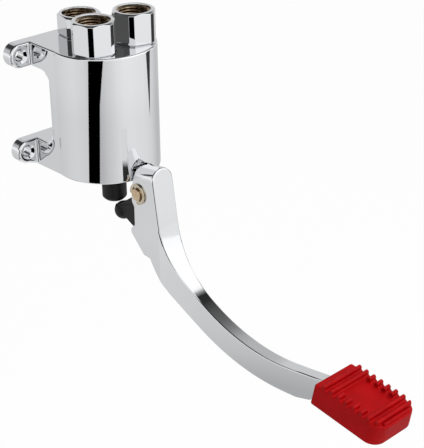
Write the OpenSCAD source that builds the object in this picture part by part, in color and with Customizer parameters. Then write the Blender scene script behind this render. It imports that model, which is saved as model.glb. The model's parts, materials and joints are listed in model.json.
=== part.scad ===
// Foot pedal tap valve: a wall-fixed mixing body that a sprung pedal opens.
// Millimetres. X runs across, the wall is the plane Y = 0 and the pedal points along -Y, Z is up.
// The origin is on the wall, in the middle of the four fixing holes.

/* [Body] */
// Radius of the round body
body_r = 34; // [33:0.5:36]
// Height of the body from its flat underside to its flat top
body_h = 82; // [80:0.5:88]
// Distance from the wall to the axis of the body
body_axis = 37; // [36.5:0.5:40]
// Half of the width of the flat-sided feet behind the round body
foot_half_w = 33.6; // [32.5:0.1:33.7]
// Distance from the wall to the bottom of the arch between the feet
arch_depth = 27.5; // [22:0.5:29]
// Radius of the inner corners of the arch
arch_r = 10; // [6:0.5:14]

/* [Fixing ears] */
// Distance across between the fixing holes
hole_dx = 81; // [79:1:86]
// Distance up between the fixing holes
hole_dz = 64; // [60:1:66]
// Diameter of a fixing hole
hole_d = 6; // [5:0.5:6.5]
// Thickness of an ear
ear_t = 8; // [6:0.5:9]
// Radius of an ear's round end
ear_r = 7.75; // [7.5:0.25:8.5]
// Diameter of the dish round a fixing hole
dish_d = 9.6; // [8:0.2:12]
// Depth of the dish
dish_depth = 1.8; // [1:0.2:4]

/* [Sockets] */
// Distance of each inlet socket to the side of the middle plane
inlet_x = 15.5; // [15:0.5:17]
// Distance from the wall to the inlet sockets
inlet_y = 49.7; // [48:0.1:50]
// Distance from the wall to the outlet socket
outlet_y = 14.8; // [14:0.1:16]
// Hexagon across flats
hex_af = 25.5; // [25:0.5:27]
// Height of an inlet socket above the body
inlet_h = 20; // [18:0.5:26]
// Height of the outlet socket above the body
outlet_h = 13.2; // [12:0.1:20]
// Bore of the female pipe thread
thread_d = 18.6; // [18:0.1:19.2]
// Diameter of the chamfer at a socket's mouth
mouth_d = 21.4; // [20.6:0.1:22]
// Thread depth of an inlet socket
inlet_thread = 14.5; // [12:0.5:15]
// Thread depth of the outlet socket
outlet_thread = 10.4; // [9:0.1:10.5]

/* [Valve] */
// Distance from the wall to the stem
valve_y = 42.5; // [41:0.5:43]
// Diameter of the stem
stem_d = 8; // [7:0.5:9]
// Diameter of the black button under the stem
button_d = 16; // [14:0.5:18]
// Height of the button
button_h = 14; // [12:0.5:15]
// Wire diameter of the return spring
wire_d = 1.4; // [1:0.1:1.6]
// Turns of the return spring
spring_turns = 5; // [4:1:6]

/* [Pivot] */
// Diameter of the pivot pin
pin_d = 8; // [7:0.5:9]
// How far the pin is in front of the body
pin_front = 6; // [5.8:0.1:8]
// How far the pin is below the body's underside
pin_drop = 5.8; // [5.6:0.1:9]
// Width of the lug between the fork's cheeks
lug_w = 7.6; // [7:0.2:8]
// Radius of the lug round the pin
lug_r = 8.5; // [8:0.25:9]

/* [Lever] */
// Width of the lever's head
head_w = 16.6; // [16:0.1:18]
// Backward lean of the head in degrees
head_lean = 8.7; // [6:0.1:10]
// Height of the head's arched top above the pin
head_up = 17.4; // [17:0.1:18.5]
// Depth of the curved blade, from its top to its underside
blade_depth = 17.9; // [16:0.1:19]
// Radius of the blade's tight upper bend, on its top side
bend_r = 47.2; // [44:0.1:50]
// Radius of the blade's long lower bend, on its top side
sweep_r = 122; // [118:1:126]
// Width of the blade where the head's taper ends
neck_w = 9.2; // [8:0.1:10]
// Width of the blade at the pad
tip_w = 6.8; // [6:0.1:8]

/* [Pad] */
// Length of the pad
pad_l = 49.3; // [46:0.1:54]
// Width of the pad's top
pad_w = 31; // [29:0.5:36]
// How much wider the pad's base is than its top, on each side
pad_flare = 1.8; // [0:0.1:3]
// Thickness of the pad under its ribs
pad_t = 13; // [12:0.5:16]
// Forward slope of the pad in degrees
pad_slope = 6.6; // [4:0.1:9]
// Radius of the pad's front corners
pad_corner = 8; // [4:0.5:10]
// Number of ribs
rib_count = 8; // [5:1:8]
// Distance between ribs
rib_pitch = 5.4; // [4.8:0.1:5.4]
// Width of a rib
rib_w = 2.4; // [2:0.1:3]
// Height of a rib above the pad
rib_h = 2.8; // [1:0.1:3]

/* [Clearances] */
// Radial clearance of a running fit
run_gap = 0.04; // [0.02:0.01:0.08]
// Gap between faces that only meet in use
touch_gap = 0.3; // [0.2:0.05:0.4]
// Gap in the fork round the lug
fork_gap = 1.2; // [1:0.1:1.5]

/* [Hidden] */
$fn = 96;
cut = 1;
// Longer than the whole part, for cuts that run past it
far = 400;

// Body levels
z_top = hole_dz / 2 + ear_r;
z_bottom = z_top - body_h;
arch_top = hole_dz / 2 - ear_r;
arch_bottom = -hole_dz / 2 + ear_r;
ear_x = hole_dx / 2;
body_front = body_axis + body_r;

// Sockets
spigot_r = 10;
spigot_len = 10;
duct_r = 6.5;
duct_sink = 1.5;
ring_r = 1;
ring_drop = 3;
hex_r = hex_af / sqrt(3);
inlet_turn = 45;
outlet_turn = 25;
rim_inset = 0.4;
rim_r = hex_af / 2 - rim_inset;
chamfer_h = (hex_r + cut - rim_r) * tan(30);
strainer_t = 1.2;
strainer_r = 8;
mesh_r = 0.8;
mesh_rings = [2.6, 5.2];

// Valve bores, from the bottom up
gland_r = 13;
gland_top = -24;
lower_r = 12;
seat_r = 10.8;
seat_bottom = -4;
seat_lip = 2;
upper_r = 9.5;
upper_top = 26;
seat_hole_r = 6.5;
seat_lip_w = 1;
seat_lip_h = 1;
inlet_cross_z = 16;
inlet_cross_r = 4.5;
outlet_cross_z = -12;
outlet_cross_r = 6;
stem_r = stem_d / 2;
collar_h = 3;
collar_af = 29;
gland_ring_z = z_bottom + 5;
stem_ring_z = gland_top - 5;
seat_ring_z = (seat_bottom + seat_lip - seat_lip_h) / 2;

// Stem assembly
washer_t = 3;
washer_r = 8.2;
neck_r = 2.5;
washer_z = seat_lip + touch_gap;
holder_z = washer_z + washer_t;
holder_t = 5;
holder_gap = 0.4;
holder_r = upper_r - holder_gap;
skirt_gap = 1;
boss_r = 4;
boss_h = 4;
spring_z = holder_z + holder_t;
spring_r = 5.8;
spring_steps = 20;
spring_sides = 8;
button_chamfer = 2;
button_socket = 8;

// Pivot
pin = [-(body_front + pin_front), z_bottom - pin_drop];
pin_r = pin_d / 2;
bush_t = 1;
bush_r = pin_r + bush_t;
lug_top = 7;
lug_sink = 6;
side_r = bush_r + 2;
side_t = 0.8;
side_play = 0.3;
clip_play = 0.1;
slot_w = lug_w + 2 * (side_t + side_play);
clip_t = 1;
clip_r = 6.8;
clip_slot = 5;
groove_depth = 0.8;
groove_r = pin_r - groove_depth;
pin_end = 1.1;
clip_x = head_w / 2 + clip_play;
pin_half = clip_x + clip_t + pin_end;

// Lever bends: two arcs that meet on one line through both centres, from the pin
head_up_dir = [sin(head_lean), cos(head_lean)];
head_back_dir = [cos(head_lean), -sin(head_lean)];
head_start = [-18.8, -16.9];
bend_start = 360 - head_lean;
bend_end = 305;
sweep_end = 257.5;
blade_end_r = 7;
neck_angle = 259.5;
neck_inset = 0.1;
neck_l = 28.4;
neck_in = 8;
neck_back = 5;
neck_depth = 6.5;
pad_rise = 4.6;
bend_centre = head_start - bend_r * arc_dir(bend_start);
sweep_centre = bend_centre - (sweep_r - bend_r) * arc_dir(bend_end);
head_len = head_up - head_start * head_up_dir;
head_front_top = head_start + head_len * head_up_dir;
head_depth = 18.5;
head_top_back = head_front_top + head_depth * head_back_dir;
head_corner_r = 5;
heel = [9, -27.5];
heel_low = [8.7, -30.2];
chin = [-3.2, -42];
recess_in = 4;
recess_top = -10.7;
boss_in = 2;
boss_low = -7.7;
boss_high = 0.3;
heel_angle = 330;
head_steps = 8;
taper_l = 36;
taper_front = 55;
taper_steps = 9;

// Pusher on the back of the lever
nose = [25.6, -23];
nose_r = 6;
pusher_back = 7;
arm_w = 8;
arm_top = [9.5, -6.2];
arm_low = [12.5, -28.2];
arm_base_top = -8.5;
arm_base_low = -31;
channel_floor = -3;
channel_low = -34;
pusher_top = -12;
pusher_low = -32;
stud_r = 2.5;
stud_half = 9;
button_flat = button_d / 2 - button_chamfer;
nose_reach = -valve_y - button_flat - pin[0] - nose[0];
nose_top = pin[1] + nose[1] + sqrt(nose_r * nose_r - nose_reach * nose_reach);
button_z = nose_top + touch_gap;
button_top = button_z + button_h;
stem_bottom = button_top - button_socket;

// Pad and the tongue inside it
neck_root = sweep_centre + (sweep_r + neck_inset) * arc_dir(neck_angle);
neck_dir = [sin(neck_angle), -cos(neck_angle)];
pad_back = neck_root + neck_l * neck_dir + [0, pad_rise];
pad_undercut = 1.4;
tongue_w = 22;
tongue_t = 5.5;
tongue_drop = 6;
tongue_l = 40;
tongue_start = 3;
rib_first = 6.6;
stub_l = 5;
full_ribs = 2;
lip_w = 3;
lip_h = 1.6;
lip_l = 24;
lip_in = 0.2;

// Helpers

// Unit direction in a side profile, at an angle from the +Y axis towards +Z
function arc_dir(a) = [cos(a), sin(a)];

// Extrudes a profile drawn in Y and Z across the middle plane
module across(w) {
    rotate([90, 0, 90]) linear_extrude(w, center = true) children();
}

// Extrudes a profile drawn in X and Z from the wall towards the front
module from_wall(depth) {
    rotate([90, 0, 0]) linear_extrude(depth) children();
}

// Places its children on the pivot axis
module at_pin() {
    translate([0, pin[0], pin[1]]) children();
}

// Places its children on the stem's axis
module at_valve() {
    translate([0, -valve_y, 0]) children();
}

// Part of a flat ring between two angles, in a side profile
module ring_part(centre, r_in, r_out, from, to) {
    reach = 3 * r_out;
    translate(centre) intersection() {
        difference() {
            circle(r_out, $fn = 180);
            circle(r_in, $fn = 180);
        }
        polygon([[0, 0], reach * arc_dir(from), reach * arc_dir((from + to) / 2), reach * arc_dir(to)]);
    }
}

// A plain round ring, such as an O-ring, about Z
module o_ring(centre_r, section_r) {
    rotate_extrude() translate([centre_r, 0]) circle(section_r, $fn = 32);
}

// Body

module arch_profile() {
    h = arch_top - arch_bottom;
    translate([-arch_depth + arch_r, arch_bottom]) square([arch_depth - arch_r + cut, h]);
    translate([-arch_depth, arch_bottom + arch_r]) square([arch_r + cut, h - 2 * arch_r]);
    for (z = [arch_bottom + arch_r, arch_top - arch_r])
        translate([-arch_depth + arch_r, z]) circle(arch_r);
}

module feet() {
    difference() {
        translate([-foot_half_w, -body_axis, z_bottom]) cube([2 * foot_half_w, body_axis, body_h]);
        across(4 * body_r) arch_profile();
    }
}

module ears_profile() {
    low = -hole_dz / 2 - ear_r;
    for (side = [-1, 1], z = [-hole_dz / 2, hole_dz / 2]) {
        translate([side * ear_x, z]) circle(ear_r);
        translate([min(0, side * ear_x), z - ear_r]) square([ear_x, 2 * ear_r]);
    }
    polygon([[-foot_half_w, z_bottom], [foot_half_w, z_bottom], [ear_x, low], [-ear_x, low]]);
}

module lug_profile() {
    translate(pin) {
        circle(lug_r);
        polygon([
            lug_r * arc_dir(160), lug_r * arc_dir(0), [lug_r, pin_drop + cut],
            [pin_front + lug_sink, pin_drop + cut], [pin_front + lug_sink, pin_drop + lug_top],
            [pin_front - cut, pin_drop + lug_top]
        ]);
    }
}

module body_ducts() {
    for (side = [-1, 1]) {
        translate([side * inlet_x, -inlet_y, z_top - spigot_len]) cylinder(r = spigot_r, h = spigot_len + cut);
        translate([side * inlet_x, -inlet_y, inlet_cross_z - inlet_cross_r - duct_sink])
            cylinder(r = duct_r, h = z_top - inlet_cross_z);
    }
    translate([0, -inlet_y, inlet_cross_z]) rotate([0, 90, 0])
        cylinder(r = inlet_cross_r, h = 2 * inlet_x, center = true);
    translate([0, -outlet_y, z_top - spigot_len]) cylinder(r = spigot_r, h = spigot_len + cut);
    translate([0, -outlet_y, outlet_cross_z - outlet_cross_r - duct_sink])
        cylinder(r = duct_r, h = z_top - outlet_cross_z);
    translate([0, -outlet_y, outlet_cross_z]) rotate([90, 0, 0])
        cylinder(r = outlet_cross_r, h = valve_y - outlet_y);
}

module valve_bores() {
    at_valve() {
        translate([0, 0, z_bottom - cut]) cylinder(r = gland_r, h = gland_top - z_bottom + cut);
        translate([0, 0, gland_top - cut]) cylinder(r = lower_r, h = seat_bottom - gland_top + cut);
        translate([0, 0, seat_bottom - cut]) cylinder(r = seat_r, h = seat_lip - seat_lip_h - seat_bottom + cut);
        translate([0, 0, seat_bottom]) cylinder(r = upper_r, h = upper_top - seat_bottom);
    }
}

module fixing_holes() {
    for (side = [-1, 1], z = [-hole_dz / 2, hole_dz / 2])
        translate([side * hole_dx / 2, 0, z]) rotate([90, 0, 0]) {
            translate([0, 0, -cut]) cylinder(d = hole_d, h = ear_t + 2 * cut);
            translate([0, 0, ear_t - dish_depth]) cylinder(d1 = hole_d, d2 = dish_d, h = dish_depth);
        }
}

module body() {
    color("gainsboro") difference() {
        union() {
            translate([0, -body_axis, z_bottom]) cylinder(r = body_r, h = body_h, $fn = 180);
            feet();
            from_wall(ear_t) ears_profile();
            across(lug_w) lug_profile();
        }
        body_ducts();
        valve_bores();
        fixing_holes();
        at_pin() rotate([0, 90, 0]) cylinder(r = bush_r, h = lug_w + 2 * cut, center = true);
    }
}

// Sockets, seals and strainers

module socket(height, thread_depth, recess, turn) {
    floor_z = height - thread_depth;
    color("gainsboro") difference() {
        union() {
            intersection() {
                rotate(turn) cylinder(r = hex_r, h = height, $fn = 6);
                union() {
                    cylinder(r = hex_r + cut, h = height - chamfer_h);
                    translate([0, 0, height - chamfer_h])
                        cylinder(r1 = hex_r + cut, r2 = rim_r, h = chamfer_h);
                }
            }
            translate([0, 0, -spigot_len]) cylinder(r = spigot_r, h = spigot_len);
        }
        translate([0, 0, floor_z]) cylinder(d = thread_d, h = thread_depth + cut);
        translate([0, 0, floor_z - recess]) cylinder(r = strainer_r, h = recess + cut);
        translate([0, 0, -spigot_len - cut]) cylinder(r = duct_r, h = spigot_len + floor_z + 2 * cut);
        translate([0, 0, height - (mouth_d - thread_d) / 2])
            cylinder(d1 = thread_d, d2 = mouth_d, h = (mouth_d - thread_d) / 2);
        translate([0, 0, -ring_drop]) rotate_extrude()
            translate([spigot_r - 2 * ring_r, -ring_r]) square([2 * ring_r + cut, 2 * ring_r]);
    }
}

module at_inlet(side) {
    translate([side * inlet_x, -inlet_y, z_top]) children();
}

module at_outlet() {
    translate([0, -outlet_y, z_top]) children();
}

module socket_hot() {
    at_inlet(-1) socket(inlet_h, inlet_thread, strainer_t, inlet_turn);
}

module socket_cold() {
    at_inlet(1) socket(inlet_h, inlet_thread, strainer_t, inlet_turn);
}

module socket_out() {
    at_outlet() socket(outlet_h, outlet_thread, 0, outlet_turn);
}

module socket_seal() {
    color("black") translate([0, 0, -ring_drop]) o_ring(spigot_r - ring_r, ring_r);
}

module seal_hot() {
    at_inlet(-1) socket_seal();
}

module seal_cold() {
    at_inlet(1) socket_seal();
}

module seal_out() {
    at_outlet() socket_seal();
}

module strainer() {
    color("silver") translate([0, 0, inlet_h - inlet_thread - strainer_t]) difference() {
        cylinder(r = strainer_r, h = strainer_t);
        for (ring = mesh_rings, turn = [0 : 60 * mesh_rings[0] / ring : 359])
            rotate(turn) translate([ring, 0, -cut]) cylinder(r = mesh_r, h = strainer_t + 2 * cut, $fn = 24);
        translate([0, 0, -cut]) cylinder(r = mesh_r, h = strainer_t + 2 * cut, $fn = 24);
    }
}

module strainer_hot() {
    at_inlet(-1) strainer();
}

module strainer_cold() {
    at_inlet(1) strainer();
}

// Seat and gland

module seat_ring() {
    lip_r = seat_hole_r + seat_lip_w;
    color("goldenrod") at_valve() difference() {
        union() {
            translate([0, 0, seat_bottom]) cylinder(r = seat_r, h = seat_lip - seat_lip_h - seat_bottom);
            translate([0, 0, seat_bottom]) cylinder(r = lip_r, h = seat_lip - seat_bottom);
        }
        translate([0, 0, seat_bottom - cut]) cylinder(r = seat_hole_r, h = seat_lip - seat_bottom + 2 * cut);
        translate([0, 0, seat_ring_z]) rotate_extrude()
            translate([seat_r - 2 * ring_r, -ring_r]) square([2 * ring_r + cut, 2 * ring_r]);
    }
}

module seat_seal() {
    color("black") at_valve() translate([0, 0, seat_ring_z]) o_ring(seat_r - ring_r, ring_r);
}

module gland() {
    color("goldenrod") at_valve() difference() {
        union() {
            translate([0, 0, z_bottom]) cylinder(r = gland_r, h = gland_top - z_bottom);
            translate([0, 0, z_bottom - collar_h]) cylinder(r = collar_af / sqrt(3), h = collar_h, $fn = 6);
        }
        translate([0, 0, z_bottom - collar_h - cut])
            cylinder(r = stem_r + run_gap, h = gland_top - z_bottom + collar_h + 2 * cut);
        translate([0, 0, gland_ring_z]) rotate_extrude()
            translate([gland_r - 2 * ring_r, -ring_r]) square([2 * ring_r + cut, 2 * ring_r]);
        translate([0, 0, stem_ring_z]) rotate_extrude()
            translate([stem_r, -ring_r]) square([run_gap + 2 * ring_r, 2 * ring_r]);
    }
}

module gland_seal() {
    color("black") at_valve() translate([0, 0, gland_ring_z]) o_ring(gland_r - ring_r, ring_r);
}

module stem_seal() {
    color("black") at_valve() translate([0, 0, stem_ring_z]) o_ring(stem_r + run_gap + ring_r, ring_r);
}

// Stem, washer, spring and button

module stem() {
    color("goldenrod") at_valve() {
        translate([0, 0, stem_bottom]) cylinder(r = stem_r, h = washer_z - stem_bottom);
        translate([0, 0, washer_z]) cylinder(r = neck_r, h = spring_z - washer_z);
    }
}

module seat_washer() {
    color("black") at_valve() translate([0, 0, washer_z]) difference() {
        cylinder(r = washer_r, h = washer_t);
        translate([0, 0, -cut]) cylinder(r = neck_r, h = washer_t + 2 * cut);
    }
}

module washer_holder() {
    skirt = washer_t - skirt_gap;
    color("goldenrod") at_valve() difference() {
        union() {
            translate([0, 0, holder_z - skirt]) cylinder(r = holder_r, h = holder_t + skirt);
            translate([0, 0, spring_z]) cylinder(r = boss_r, h = boss_h);
        }
        translate([0, 0, holder_z - skirt - cut]) cylinder(r = washer_r, h = skirt + cut);
        translate([0, 0, holder_z - cut]) cylinder(r = neck_r, h = holder_t + cut);
    }
}

module button() {
    r = button_d / 2;
    color("dimgray") at_valve() translate([0, 0, button_z]) difference() {
        union() {
            cylinder(r1 = r - button_chamfer, r2 = r, h = button_chamfer);
            translate([0, 0, button_chamfer]) cylinder(r = r, h = button_h - button_chamfer);
        }
        translate([0, 0, button_h - button_socket]) cylinder(r = stem_r, h = button_socket + cut);
    }
}

// Point on the section of the coil's wire: ring number i along the coil, corner j round the wire
function coil_point(i, j) =
    let (
        turn = i / spring_steps,
        rise = upper_top - spring_z - wire_d,
        climb = max(0, min(1, (turn - 0.5) / (spring_turns - 1))),
        r = spring_r + wire_d / 2 * cos(360 * j / spring_sides),
        z = spring_z + wire_d / 2 + rise * climb + wire_d / 2 * sin(360 * j / spring_sides)
    )
    [r * cos(360 * turn), r * sin(360 * turn), z];

module return_spring() {
    rings = spring_turns * spring_steps;
    n = spring_sides;
    points = [for (i = [0 : rings], j = [0 : n - 1]) coil_point(i, j)];
    walls = [for (i = [0 : rings - 1], j = [0 : n - 1])
        [i * n + j, i * n + (j + 1) % n, (i + 1) * n + (j + 1) % n, (i + 1) * n + j]];
    start = [[for (j = [n - 1 : -1 : 0]) j]];
    finish = [[for (j = [0 : n - 1]) rings * n + j]];
    color("silver") at_valve() polyhedron(points, concat(walls, start, finish));
}

// Pivot

module pivot_bush() {
    color("tan") at_pin() rotate([0, 90, 0]) difference() {
        cylinder(r = bush_r, h = lug_w, center = true);
        cylinder(r = pin_r + run_gap, h = lug_w + 2 * cut, center = true);
    }
}

module pivot_pin() {
    color("burlywood") at_pin() rotate([0, 90, 0]) difference() {
        cylinder(r = pin_r, h = 2 * pin_half, center = true);
        for (side = [-1, 1])
            translate([0, 0, side * (clip_x + clip_t / 2)]) difference() {
                cylinder(r = pin_r + cut, h = clip_t, center = true);
                cylinder(r = groove_r, h = clip_t + cut, center = true);
            }
    }
}

module pin_clips() {
    color("tan") at_pin() rotate([0, 90, 0]) for (side = [-1, 1])
        translate([0, 0, side * (clip_x + clip_t / 2)]) difference() {
            cylinder(r = clip_r, h = clip_t, center = true);
            cylinder(r = groove_r, h = clip_t + cut, center = true);
            rotate(45) translate([0, -clip_slot / 2, -clip_t]) cube([2 * clip_r, clip_slot, 2 * clip_t]);
        }
}

module side_washers() {
    color("white") at_pin() rotate([0, 90, 0]) for (side = [-1, 1])
        translate([0, 0, side * (slot_w - side_t) / 2]) difference() {
            cylinder(r = side_r, h = side_t, center = true);
            cylinder(r = pin_r, h = side_t + cut, center = true);
        }
}

// Lever

// The head down to its heel, with the last stretch of the inner bend
module head_profile() {
    corner = head_top_back - head_corner_r * (head_back_dir + head_up_dir);
    bend_step = (bend_start - heel_angle) / head_steps;
    polygon(concat(
        [
            bend_centre + (bend_r + blade_depth) * arc_dir(heel_angle), chin, heel_low, heel,
            heel + recess_in * [-1, 1], [heel[0] - recess_in, recess_top], [heel[0] - boss_in, boss_low],
            [heel[0] - boss_in, boss_high]
        ],
        [for (a = [0 : 15 : 90]) corner + head_corner_r * arc_dir(a - head_lean)],
        [head_front_top],
        [for (i = [0 : head_steps]) bend_centre + bend_r * arc_dir(bend_start - i * bend_step)]
    ));
}

module lever_profile() {
    head_profile();
    ring_part(bend_centre, bend_r, bend_r + blade_depth, bend_end, heel_angle);
    ring_part(sweep_centre, sweep_r, sweep_r + blade_depth, sweep_end, bend_end);
    translate(sweep_centre + (sweep_r + blade_depth - blade_end_r) * arc_dir(sweep_end)) circle(blade_end_r);
    neck_profile();
}

// The straight neck that runs on from the blade into the pad
module neck_profile() {
    translate(neck_root) rotate(neck_angle - 270)
        translate([-neck_l - neck_in, -neck_depth]) square([neck_l + neck_in + neck_back, neck_depth]);
}

// Half width of the lever at a distance behind the end of its hollow taper
function taper_x(d) =
    let (step = (head_w - neck_w) / 2, carve_r = (taper_l * taper_l + step * step) / (2 * step))
    neck_w / 2 + carve_r - sqrt(carve_r * carve_r - d * d);

// The lever's outline from above: wide at the head, then a hollow taper to a slim blade
module lever_plan() {
    step = taper_l / taper_steps;
    right = concat(
        [[tip_w / 2, pin[0] + pad_back[0] - pad_l]],
        [for (i = [0 : taper_steps + 1]) [taper_x(i * step), pin[0] - taper_front + i * step]],
        [[taper_x(taper_l + step), far]]
    );
    left = [for (i = [len(right) - 1 : -1 : 0]) [-right[i][0], right[i][1]]];
    polygon(concat(right, left));
}

// Keeps what lies under the head's arched top
module head_arch() {
    at_pin() rotate([-head_lean, 0, 0]) rotate([90, 0, 0]) linear_extrude(2 * far, center = true) {
        translate([0, head_up - head_w / 2]) circle(head_w / 2);
        translate([-head_w / 2, -far]) square([head_w, far + head_up - head_w / 2]);
    }
}

// The gap in the fork round the lug, open to the back
module fork_profile() {
    r = lug_r + fork_gap;
    circle(r);
    polygon([
        r * arc_dir(160), r * arc_dir(270), [far, -r], [far, pin_drop + lug_top + fork_gap],
        [pin_front - cut - fork_gap, pin_drop + lug_top + fork_gap]
    ]);
}

module channel_profile() {
    translate([channel_floor, channel_low]) square([far, -channel_low]);
}

module at_pad() {
    translate([0, pin[0] + pad_back[0], pin[1] + pad_back[1]]) rotate([pad_slope, 0, 0]) children();
}

// The flat end of the lever that sits inside the pad
module tongue() {
    at_pad() translate([-tongue_w / 2, -tongue_l, -tongue_drop - tongue_t / 2])
        cube([tongue_w, tongue_l - tongue_start, tongue_t]);
}

// The space in the pad for the neck and the tongue
module pad_cavity() {
    intersection() {
        at_pin_profile(2 * tip_w) neck_profile();
        linear_extrude(2 * far, center = true) lever_plan();
    }
    tongue();
}

// Extrudes a side profile drawn from the pin
module at_pin_profile(w) {
    at_pin() across(w) children();
}

module lever() {
    color("gainsboro") difference() {
        union() {
            intersection() {
                at_pin_profile(head_w + cut) lever_profile();
                linear_extrude(2 * far, center = true) lever_plan();
                head_arch();
            }
            tongue();
        }
        at_pin_profile(slot_w) fork_profile();
        at_pin_profile(slot_w) channel_profile();
        at_pin() rotate([0, 90, 0]) cylinder(r = pin_r, h = head_w + 2 * cut, center = true);
        stud_hole();
    }
}

// Pusher

module stud_hole() {
    at_pin() translate([0, channel_floor, nose[1]]) rotate([90, 0, 0])
        cylinder(r = stud_r, h = 2 * stud_half, center = true);
}

// The sloping arm from the lever's back to the round nose
module arm_profile() {
    polygon([
        [pusher_back - cut, arm_base_low], arm_low, nose - [nose_r, nose_r / 3], nose,
        nose + 3 / 4 * nose_r * arc_dir(56), arm_top, [pusher_back - cut, arm_base_top]
    ]);
}

module pusher() {
    color("dimgray") difference() {
        union() {
            at_pin() translate([-slot_w / 2, channel_floor, pusher_low])
                cube([slot_w, pusher_back - channel_floor, pusher_top - pusher_low]);
            at_pin_profile(arm_w) arm_profile();
            at_pin() translate([0, nose[0], nose[1]]) rotate([0, 90, 0]) sphere(nose_r);
        }
        stud_hole();
    }
}

module pusher_stud() {
    color("silver") stud_hole();
}

// Pad

module pad_block() {
    base_w = pad_w + 2 * pad_flare;
    intersection() {
        rotate([90, 0, 0]) linear_extrude(pad_l)
            polygon([[-base_w / 2, -pad_t], [base_w / 2, -pad_t], [pad_w / 2, 0], [-pad_w / 2, 0]]);
        across(base_w + cut)
            polygon([[0, 0], [-pad_l, 0], [-pad_l + pad_undercut, -pad_t], [0, -pad_t]]);
        translate([0, 0, -pad_t - cut]) linear_extrude(pad_t + 2 * cut) {
            translate([-base_w / 2, -pad_l + pad_corner]) square([base_w, pad_l - pad_corner]);
            translate([-base_w / 2 + pad_corner, -pad_l]) square([base_w - 2 * pad_corner, pad_l]);
            for (side = [-1, 1])
                translate([side * (base_w / 2 - pad_corner), -pad_l + pad_corner]) circle(pad_corner);
        }
    }
}

// One rib with a round top, along X
module rib(length, width, height) {
    r = width / 2;
    across(length) {
        translate([0, height - r]) circle(r);
        translate([-r, -cut]) square([width, height - r + cut]);
    }
}

module ribs() {
    for (i = [0 : rib_count - 1])
        translate([0, -rib_first - i * rib_pitch, 0])
            if (i < full_ribs || i >= rib_count - full_ribs)
                rib(pad_w, rib_w, rib_h);
            else
                for (side = [-1, 1])
                    translate([side * (pad_w - stub_l) / 2, 0, 0]) rib(stub_l, rib_w, rib_h);
}

module pedal_pad() {
    color("crimson") difference() {
        at_pad() {
            pad_block();
            ribs();
            translate([0, lip_w / 2 + lip_in - pad_l, 0]) rib(lip_l, lip_w, lip_h);
        }
        pad_cavity();
    }
}

body();
socket_hot();
socket_cold();
socket_out();
seal_hot();
seal_cold();
seal_out();
strainer_hot();
strainer_cold();
seat_ring();
seat_seal();
gland();
gland_seal();
stem_seal();
pivot_bush();
stem();
seat_washer();
washer_holder();
button();
return_spring();
lever();
pivot_pin();
pin_clips();
side_washers();
pusher();
pusher_stud();
pedal_pad();
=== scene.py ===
import json
import math

import bmesh
import bpy
from mathutils import Matrix, Vector
from mathutils.kdtree import KDTree

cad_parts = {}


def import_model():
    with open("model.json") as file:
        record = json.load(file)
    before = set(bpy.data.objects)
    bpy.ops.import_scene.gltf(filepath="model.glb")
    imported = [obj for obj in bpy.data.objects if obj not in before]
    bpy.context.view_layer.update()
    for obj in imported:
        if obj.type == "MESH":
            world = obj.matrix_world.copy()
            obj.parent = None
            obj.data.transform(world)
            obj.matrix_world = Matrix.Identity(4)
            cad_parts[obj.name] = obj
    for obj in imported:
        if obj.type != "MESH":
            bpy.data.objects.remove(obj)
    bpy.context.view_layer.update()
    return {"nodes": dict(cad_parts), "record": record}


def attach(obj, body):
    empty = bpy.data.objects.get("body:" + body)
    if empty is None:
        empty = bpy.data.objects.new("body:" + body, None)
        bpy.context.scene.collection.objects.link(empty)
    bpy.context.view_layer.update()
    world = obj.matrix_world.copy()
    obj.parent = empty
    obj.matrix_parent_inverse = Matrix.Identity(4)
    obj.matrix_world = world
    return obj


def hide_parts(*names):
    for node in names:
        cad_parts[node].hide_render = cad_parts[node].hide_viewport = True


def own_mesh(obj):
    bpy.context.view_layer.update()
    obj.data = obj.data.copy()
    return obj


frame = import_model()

# Foot pedal tap valve: chromed body and lever, brass threads, black nylon, red rubber pad.
# Sizes are millimetres in the CAD frame: the wall is Y = 0, the pedal points along -Y, Z is up.
MM = 0.001
PIN = (0.0, -77.0, -48.05)
BODY_Y, BODY_TOP = -37.0, 39.75
INLET_X, INLET_Y, OUTLET_Y = 15.5, -49.7, -14.8
STEM_Y = -42.5
FLOOR_Z = -480.0


def mm(x, y, z):
    """A point given in millimetres."""
    return Vector((x, y, z)) * MM


def linear(code):
    """An sRGB hex colour as linear red, green, blue and alpha."""
    parts = [int(code[i:i + 2], 16) / 255 for i in (1, 3, 5)]
    return [c / 12.92 if c <= 0.04045 else ((c + 0.055) / 1.055) ** 2.4 for c in parts] + [1.0]


# Materials

def add(tree, kind, settings=None, **links):
    """Adds a node. Settings are its own properties, or the stops of its colour ramp. Links are its sockets,
    by name or as _0, _1 and so on, with a value, a socket or a node whose first output is meant."""
    node = tree.nodes.new(kind)
    for key, value in (settings or {}).items():
        if key == "stops":
            marks = node.color_ramp.elements
            while len(marks) < len(value):
                marks.new(0.5)
            for mark, (position, colour) in zip(marks, value):
                mark.position = position
                mark.color = colour
        else:
            setattr(node, key, value)
    for key, value in links.items():
        socket = node.inputs[int(key[1:]) if key[1:].isdigit() else key.replace("_", " ")]
        if isinstance(value, bpy.types.Node):
            value = value.outputs[0]
        if isinstance(value, bpy.types.NodeSocket):
            tree.links.new(value, socket)
        else:
            socket.default_value = value
    return node


def fresh(name):
    """A new material with an empty tree."""
    material = bpy.data.materials.new(name)
    material.use_nodes = True
    material.node_tree.nodes.clear()
    return material, material.node_tree


def scale_for(size):
    """The scale of a noise whose blobs are about size millimetres across."""
    return 1 / (size * MM)


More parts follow.
